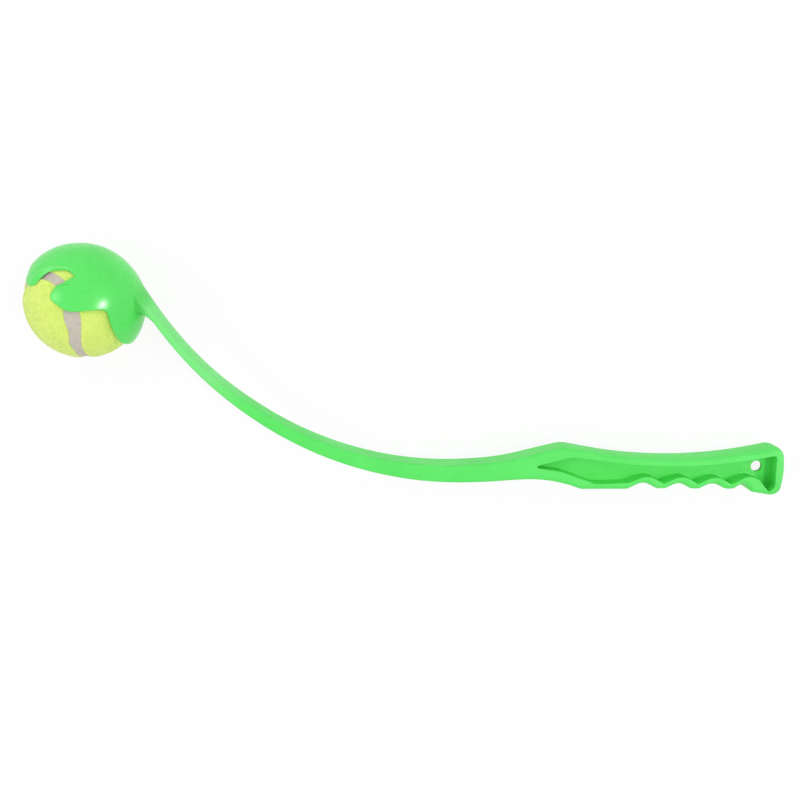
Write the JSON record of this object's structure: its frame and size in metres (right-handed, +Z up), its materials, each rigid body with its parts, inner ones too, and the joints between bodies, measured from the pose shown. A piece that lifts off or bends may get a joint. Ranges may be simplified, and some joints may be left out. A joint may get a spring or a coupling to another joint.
{
  "type": "dog throwing stick",
  "caption": "Ball thrower for dogs: a clawed plastic cup on a long curved arm with a pocketed finger grip and a hang hole, holding a felt tennis ball.",
  "frame": {"origin": "bottom centre of the bounding box, with the thrower lying on its side on the cup's side lobe", "axes": "+X along the grip from the cup to the butt, +Y from the finger side of the grip to its thumb side, +Z up, square to the plane that the arm curves in"},
  "size_m": [0.45, 0.1504, 0.0698],
  "materials": {
    "green_plastic": "glossy",
    "felt": "napped",
    "seam_rubber": "matte",
    "core_rubber": "matte"
  },
  "bodies": {
    "thrower": {"ball_cup": "green_plastic", "throwing_arm": "green_plastic", "grip_handle": "green_plastic"},
    "ball": {"felt_panel_a": "felt", "felt_panel_b": "felt", "felt_seam": "seam_rubber", "core_half_a": "core_rubber", "core_half_b": "core_rubber", "core_cement": "core_rubber"}
  },
  "joints": [
    {"name": "ball_release", "type": "slide", "parent": "thrower", "child": "ball", "axis": [-0.599, -0.8007, 0], "range_m": [0, 0.045]}
  ]
}
